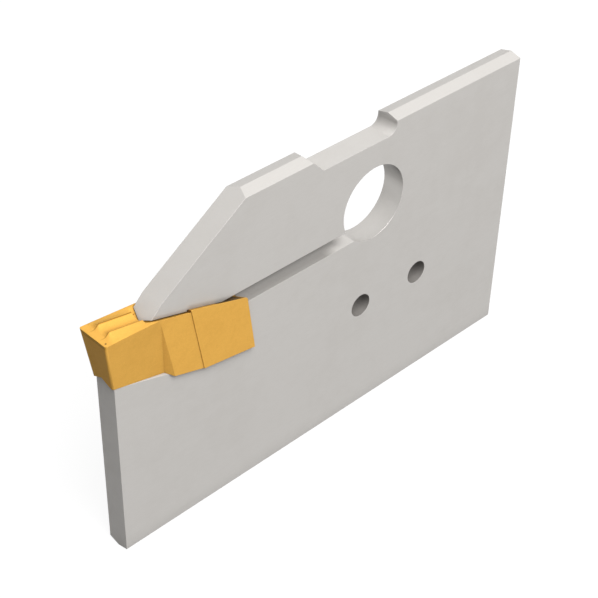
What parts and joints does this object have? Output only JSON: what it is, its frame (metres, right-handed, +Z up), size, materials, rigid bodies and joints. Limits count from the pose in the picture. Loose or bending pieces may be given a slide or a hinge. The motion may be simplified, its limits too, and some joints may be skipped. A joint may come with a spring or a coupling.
{
  "type": "parting blade",
  "caption": "Flat lathe parting blade with V-shaped long edges, a slit jaw, key bore and pin bores, holding a coated carbide cut-off insert",
  "frame": {"origin": "centre of the key bore, on the blade's mid-plane", "axes": "+X along the blade from the cutting insert to the rear end, +Y across the blade's thickness along the key bore, +Z up towards the edge with the relief recess"},
  "size_m": [0.0509, 0.0034, 0.032],
  "materials": {
    "blade_steel": "fine ground, satin",
    "coated_carbide": "thin gold-coloured coating on sintered carbide, satin"
  },
  "bodies": {
    "root": {"blade_body": "blade_steel", "cutting_insert": "coated_carbide"}
  },
  "joints": []
}
